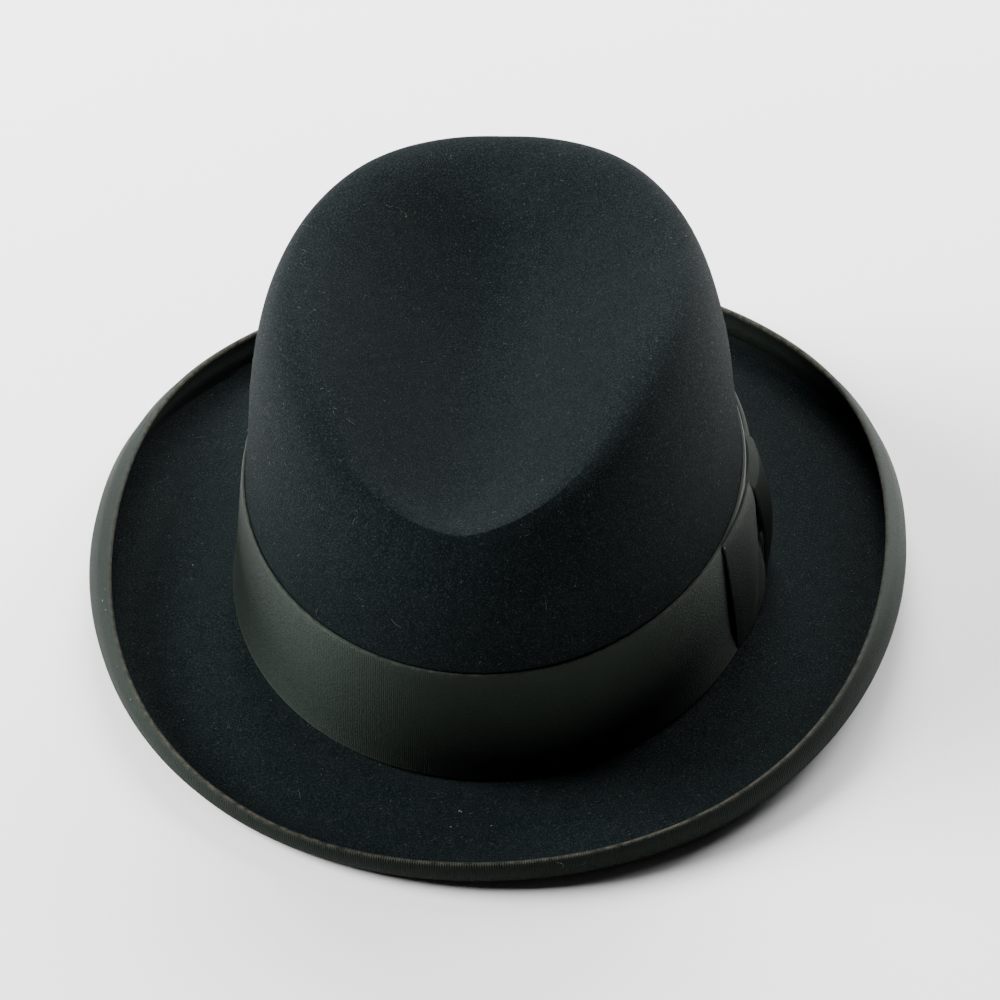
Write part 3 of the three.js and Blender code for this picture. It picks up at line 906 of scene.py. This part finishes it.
def sweatband(material):
    """Leather ring inside the crown's foot."""
    outside = -FELT_THICKNESS - SWEATBAND_GAP
    inside = outside - SWEATBAND_THICKNESS
    middle = (outside + inside) / 2

    def line(t):
        return wall_point(t, foot_height(t), outside)

    t, along = even_turns(line, SWEATBAND_COLUMNS)
    foot = foot_height(t) - FELT_THICKNESS + SWEATBAND_FOOT_CLEARANCE
    section = [wall_point(t, foot + SWEATBAND_HEIGHT * share, outside) for share in (0, 0.5, 1)]
    section.append(wall_point(t, foot + SWEATBAND_HEIGHT + SWEATBAND_EDGE_ROUNDING, middle))
    section += [wall_point(t, foot + SWEATBAND_HEIGHT * share, inside) for share in (1, 0.75, 0.5, 0.25, 0)]
    section.append(wall_point(t, foot - SWEATBAND_EDGE_ROUNDING, middle))
    across = np.linspace(0, 2 * SWEATBAND_HEIGHT, len(section))
    piece = ribbon_piece("leather_sweatband", np.array(section), along, across, material)
    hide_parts("sweatband")


def angle_of(length):
    """Turn round the hat for a length along the bow."""
    return length / (HEAD_HALF_LENGTH + RIBBON_GAP + BAND_THICKNESS)


def bow_point(t, up, half_height, rise):
    """Point on the bow. up: -1 at its lower edge, 1 at its upper edge."""
    height = band_foot(t) + BAND_HEIGHT / 2 + half_height * up
    return wall_point(t, height, 2 * RIBBON_GAP + BAND_THICKNESS + rise)


def fold_inset(from_edge):
    """How far a sheet's face draws in where its rounded edge turns under."""
    short = 1 - np.clip(from_edge / BOW_FOLD_RADIUS, 0, 1)
    return BOW_FOLD_RADIUS * (1 - np.sqrt(1 - short ** 2))


def sheet_section(point_at, ups):
    """Section of a thin sheet: up its outside, a nose, down its inside and a nose."""
    rows = [point_at(up, 0.0) for up in ups]
    rows.append(point_at(1.0, 0.5))
    rows += [point_at(up, 1.0) for up in ups[::-1]]
    rows.append(point_at(-1.0, 0.5))
    return np.array(rows)


def sheet_across(ups):
    """Lengths up a thin sheet's outside, over its nose, down its inside and over its nose."""
    face = BAND_HEIGHT * (np.asarray(ups) + 1) / 2
    back = face[-1] + BOW_THICKNESS + face[-1] - face[::-1]
    return np.concatenate([face, [face[-1] + BOW_THICKNESS / 2], back, [back[-1] + BOW_THICKNESS / 2]])


def edge_mask(ups, columns):
    """1 on the paler threads of a sheet's upper and lower edges, whose paler colour is partly a painted
    highlight.
    """
    rows = np.concatenate([ups, [1], ups[::-1], [1]])
    return np.repeat((np.abs(rows) > BOW_SELVAGE_UP).astype(float)[:, None], columns, axis=1)


def loop_crease(along, up):
    """Depth of the slanting crease that the knot pulls into a loop's lower half."""
    line = LOOP_CREASE_ALONG - along + LOOP_CREASE_SLANT * (up - LOOP_CREASE_UP)
    aside = line * LOOP_LENGTH * LOOP_CREASE_NARROWING
    deepening = smooth_step(LOOP_CREASE_DEEPENING * (along - LOOP_CREASE_FROM))
    reach = deepening * smooth_step(-LOOP_CREASE_FADING * up)
    return LOOP_CREASE_DEPTH * reach * np.exp(-(aside / LOOP_CREASE_HALF_WIDTH) ** 2)


def bow_loop(name, node, side, greatest_rise, material):
    """Loop from its fold, lifted off the band, to its pinched end under the knot.

    side: -1 in front of the knot, 1 behind it.
    """
    length = LOOP_LENGTH + LOOP_TUCK
    ribs = round(length / BAND_RIB_PITCH)
    from_fold = np.linspace(0, length, ribs * COLUMNS_PER_RIB + 1)
    relief = np.append(rib_heights(ribs, BOW_RIB_DEPTH), 0)
    along = np.minimum(from_fold / LOOP_LENGTH, 1)
    tucked = np.maximum(from_fold - LOOP_LENGTH, 0) / LOOP_TUCK
    far = angle_of(KNOT_WIDTH / 2 + RIBBON_GAP + LOOP_LENGTH - from_fold)
    t = math.radians(BOW_ANGLE) + side * far
    half_height = BAND_HEIGHT / 2 - mix(BOW_EDGE_CLEARANCE, LOOP_KNOT_INSET, along ** 2)
    pinch = LOOP_PINCH * table_value(LOOP, "pinch", along)

    def point_at(up, depth):
        edge = table_value(LOOP, "top" if up > 0 else "bottom", along)
        middle = table_value(LOOP, "middle", along) * (1 - pinch * (1 - up ** 2) ** 2)
        rise = greatest_rise * mix(middle, edge, abs(up) ** 3) * (1 - LOOP_TUCK_FLATTENING * tucked)
        lean = smooth_step((up - LOOP_LEAN_FROM) / (1 - LOOP_LEAN_FROM))
        thickness = BOW_THICKNESS * (1 - LOOP_LEAN_THINNING * lean) * depth
        inset = fold_inset(from_fold) * (1 - 2 * depth)
        rise = rise - loop_crease(along, up) - LOOP_TOP_LEAN * lean - thickness - inset
        return bow_point(t, up, half_height + LOOP_OVERHANG * (up > 0), rise + relief * (depth == 0))

    faces = np.linspace(-BOW_FACE_UP, BOW_FACE_UP, LOOP_FACE_ROWS)
    ups = np.concatenate([[-BOW_EDGE_UP], faces, [BOW_EDGE_UP]])
    edge = edge_mask(ups, len(t))
    # Paler edge threads, partly a painted highlight where the edges catch light
    masks = {"wear_and_highlight": BOW_EDGE_WEAR_AND_HIGHLIGHT * edge, "edge": edge}
    section = sheet_section(point_at, ups)
    if side > 0:
        section = section[:, ::-1]
    along_ribbon = from_fold if side < 0 else length - from_fold[::-1]
    piece = ribbon_piece(name, section, along_ribbon, sheet_across(ups), material, masks)
    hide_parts(node)


def bow_knot(material):
    """Wrap round the bow's middle, with its waist drawn in and its threads upright."""
    ribs = round(BAND_HEIGHT / BAND_RIB_PITCH)
    relief = rib_heights(ribs, BOW_RIB_DEPTH)
    ups = np.linspace(-BOW_EDGE_UP, BOW_EDGE_UP, len(relief))
    near_edge = np.linspace(0, KNOT_EDGE_SHARE, KNOT_EDGE_COLUMNS)[:-1]
    face = np.linspace(KNOT_EDGE_SHARE, 1 - KNOT_EDGE_SHARE, KNOT_FACE_COLUMNS)
    across = np.concatenate([near_edge, face, 1 - near_edge[::-1]])
    from_edge = KNOT_WIDTH * np.minimum(across, 1 - across)
    half_height = BAND_HEIGHT / 2 - KNOT_INSET

    def point_at(up, depth):
        fullness = 1 - up ** 2
        half = angle_of(KNOT_WIDTH / 2 + KNOT_WAIST * (up ** 2 - 0.5))
        t = math.radians(BOW_ANGLE) + half * (2 * across - 1)
        rise = mix(KNOT_EDGE_RISE, KNOT_MIDDLE_RISE, fullness)
        crest = mix(KNOT_EDGE_CREST, KNOT_MIDDLE_CREST, fullness) * np.sin(math.pi * across)
        groove = np.interp(up, ups, relief) * (depth == 0)
        inset = fold_inset(from_edge) * (1 - 2 * depth)
        lean = KNOT_TOP_LEAN * smooth_step((up - KNOT_LEAN_FROM) / (1 - KNOT_LEAN_FROM))
        return bow_point(t, up, half_height, rise + crest - lean - BOW_THICKNESS * depth - inset + groove)

    edge = edge_mask(ups, len(across))
    # Paler edge threads, partly a painted highlight where the edges catch light
    masks = {"wear_and_highlight": BOW_EDGE_WEAR_AND_HIGHLIGHT * edge, "edge": edge}
    along = KNOT_WIDTH * across
    section = sheet_section(point_at, ups)
    piece = ribbon_piece(
        "bow_wrap", section, along, sheet_across(ups), material, masks, turned=True
    )
    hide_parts("bow_knot")


# Loose fibres and specks

def scatter_on(grid, count):
    """Random places on a surface of closed rings, and the outward normals there."""
    following = np.roll(grid, -1, axis=1)
    around = following[:-1] - grid[:-1]
    down = grid[1:] - grid[:-1]
    normals = np.cross(around, down)
    area = np.linalg.norm(normals, axis=-1).ravel()
    cell = rng.choice(len(area), count, p=area / area.sum())
    row, column = np.unravel_index(cell, normals.shape[:2])
    share = rng.random((2, count, 1))
    places = grid[row, column] + share[0] * around[row, column] + share[1] * down[row, column]
    return places, normals[row, column] / area[cell][:, None]


def fibres(name, places, normals, lengths, thickness, material):
    """Fine hairs that lie on a surface, each bent by the first terms of a sine and a cosine."""
    count = len(places)
    points = len(FIBRE_TAPER)
    helper = rng.normal(size=(count, 3))
    ahead = np.cross(normals, helper)
    ahead /= np.linalg.norm(ahead, axis=1, keepdims=True)
    aside = np.cross(normals, ahead)
    bend = rng.normal(0, FIBRE_BEND, (count, 1))
    lift = rng.uniform(*FIBRE_LIFT, (count, 1))
    share = np.linspace(0, 1, points)[None, :]
    swing = bend * share
    forward = lengths[:, None] * share * (1 - swing ** 2 / 6)
    sideways = lengths[:, None] * share * swing / 2
    arch = lift * np.sin(math.pi * share) * np.minimum(lengths[:, None], FIBRE_LIFT_LENGTH)
    path = places[:, None] + forward[..., None] * ahead[:, None]
    path = path + sideways[..., None] * aside[:, None]
    path = path + (FIBRE_CLEARANCE + arch)[..., None] * normals[:, None]
    angle = TAU * np.arange(FIBRE_SIDES) / FIBRE_SIDES
    radius = np.broadcast_to(thickness, count)[:, None] / 2 * np.array(FIBRE_TAPER)
    ring = np.cos(angle)[:, None] * aside[:, None, None] + np.sin(angle)[:, None] * normals[:, None, None]
    skin = path[:, :, None] + radius[:, :, None, None] * ring
    first = FIBRE_SIDES * points * np.arange(count)
    steps = FIBRE_SIDES * np.arange(points - 1)
    strips = first[:, None, None, None] + steps[:, None, None] + strip_faces(0, FIBRE_SIDES, FIBRE_SIDES)
    side = np.arange(FIBRE_SIDES)
    faces = strips.reshape(-1, 4).tolist()
    faces += (first[:, None] + side[::-1]).tolist()
    faces += (first[:, None] + FIBRE_SIDES * (points - 1) + side).tolist()
    return make_piece(name, skin.reshape(-1, 3), faces, material)


def loose_fibres(grid, material):
    """Short nap and longer lint, scattered over the felt."""
    for name, (count, shortest, longest) in FIBRES.items():
        places, normals = scatter_on(grid, count)
        lengths = rng.uniform(shortest, longest, count)
        fibres(name, places, normals, lengths, FIBRE_THICKNESS, material)


def dust_specks(material):
    """Specks of dust on the binding and the brim, and two hairs on the binding."""
    t = np.radians(BINDING_SPECKS["turn"])
    below = np.radians(BINDING_SPECKS["place"])
    off = RIBBON_GAP + BINDING_THICKNESS - edge_thinning(CURL_RADIUS * below, BINDING_EDGE_THINNING)
    angle = curl_end(t) - below
    places = curl_point(t, angle, CURL_RADIUS + off)
    normals = places - curl_point(t, angle, CURL_RADIUS + off - 1)
    lengths = BINDING_SPECKS["length"]
    thickness = np.where(lengths > HAIR_LEAST_LENGTH, HAIR_THICKNESS, SPECK_THICKNESS)
    fibres("binding_specks", places, normals, lengths, thickness, material)
    places = np.array([brim_point(math.radians(speck["turn"]), speck["place"]) for speck in BRIM_SPECKS])
    normals = np.tile([0.0, 0.0, 1.0], (len(places), 1))
    fibres("brim_specks", places, normals, BRIM_SPECKS["length"], SPECK_THICKNESS, material)


def tack_stitches(material):
    """Short stitches that hold the front loop's fold to the band at its corners."""
    t = math.radians(BOW_ANGLE) - angle_of(KNOT_WIDTH / 2 + RIBBON_GAP + LOOP_LENGTH)
    ups = TACK_STITCHES["up"]
    places = bow_point(t, ups, BAND_HEIGHT / 2, STITCH_CLEARANCE)
    normals = places - bow_point(t, ups, BAND_HEIGHT / 2, STITCH_CLEARANCE - 1)
    lengths = TACK_STITCHES["length"]
    fibres("tack_stitches", places, normals, lengths, STITCH_THICKNESS, material)


# Stage, light and camera

def floor():
    half = FLOOR_HALF_WIDTH * MM
    corners = [(-half, -half, 0), (half, -half, 0), (half, half, 0), (-half, half, 0)]
    mesh = bpy.data.meshes.new("floor")
    mesh.from_pydata(corners, [], [(0, 1, 2, 3)])
    shader = Shader("pale_floor", Roughness=0.9, Specular_IOR_Level=0.1)
    shader.bsdf.inputs["Base Color"].default_value = colour(FLOOR_GREY, FLOOR_GREY, FLOOR_GREY)
    mesh.materials.append(shader.material)
    piece = bpy.data.objects.new("floor", mesh)
    bpy.context.scene.collection.objects.link(piece)
    piece.location.z = -FLOOR_GAP * MM


def direction(azimuth, elevation):
    """Unit vector away from the hat. Azimuth 0 is in front of it and 90 at the wearer's left."""
    azimuth = math.radians(azimuth)
    elevation = math.radians(elevation)
    level = math.cos(elevation)
    return Vector((math.sin(azimuth) * level, -math.cos(azimuth) * level, math.sin(elevation)))


def lights():
    for name, (azimuth, elevation, power) in LIGHTS.items():
        data = bpy.data.lights.new(name, "AREA")
        data.shape = "DISK"
        data.size = LIGHT_WIDTH * MM
        data.energy = power
        light = bpy.data.objects.new(name, data)
        away = direction(azimuth, elevation)
        light.location = (Vector(LIGHT_AIM) + LIGHT_DISTANCE * away) * MM
        light.rotation_euler = (-away).to_track_quat("-Z", "Y").to_euler()
        bpy.context.scene.collection.objects.link(light)
    world = bpy.data.worlds.new("studio")
    world.use_nodes = True
    background = world.node_tree.nodes["Background"]
    background.inputs["Color"].default_value = colour(1, 1, 1)
    background.inputs["Strength"].default_value = WORLD_STRENGTH
    bpy.context.scene.world = world


def camera():
    azimuth = math.radians(CAMERA_AZIMUTH)
    roll = math.radians(CAMERA_ROLL)
    back = direction(CAMERA_AZIMUTH, CAMERA_ELEVATION)
    level = Vector((math.cos(azimuth), math.sin(azimuth), 0))
    upright = back.cross(level)
    right = level * math.cos(roll) + upright * math.sin(roll)
    up = upright * math.cos(roll) - level * math.sin(roll)
    data = bpy.data.cameras.new("camera")
    data.lens = CAMERA_LENS
    data.sensor_width = CAMERA_SENSOR_WIDTH
    view = bpy.data.objects.new("camera", data)
    turn = Matrix((right, up, back)).transposed()
    place = (Vector(CAMERA_TARGET) + CAMERA_DISTANCE * back) * MM
    view.matrix_world = Matrix.Translation(place) @ turn.to_4x4()
    bpy.context.scene.collection.objects.link(view)
    bpy.context.scene.camera = view


camera()
lights()
floor()

felt = felt_material()
# The last colour of each ribbon is for its paler edges and folds, partly abrasion and partly a painted
# highlight
band_ribbon = ribbon_material(
    "band_grosgrain",
    gloss=0.19,
    dark=colour(0.0017, 0.0025, 0.002),
    light=colour(0.0025, 0.0034, 0.0028),
    worn_and_highlight=colour(0.022, 0.023, 0.019),
)
bow_ribbon = ribbon_material(
    "bow_grosgrain",
    gloss=0.04,
    dark=colour(0.0062, 0.008, 0.0068),
    light=colour(0.0076, 0.0098, 0.0082),
    worn_and_highlight=colour(0.011, 0.013, 0.011),
)
binding_ribbon = ribbon_material(
    "binding_grosgrain",
    gloss=0.06,
    dark=colour(0.0028, 0.0042, 0.0034),
    light=colour(0.004, 0.0056, 0.0046),
    worn_and_highlight=colour(0.08, 0.071, 0.057),
)
leather = leather_material()
pale_fibre = fibre_material()

felt_grid = felt_body(felt)
hat_band(band_ribbon)
brim_binding(binding_ribbon)
sweatband(leather)
bow_loop("bow_loop_front", "bow_front_loop", -1, FRONT_LOOP_RISE, bow_ribbon)
bow_loop("bow_loop_back", "bow_back_loop", 1, BACK_LOOP_RISE, bow_ribbon)
bow_knot(bow_ribbon)
loose_fibres(felt_grid, pale_fibre)
dust_specks(pale_fibre)
tack_stitches(pale_fibre)
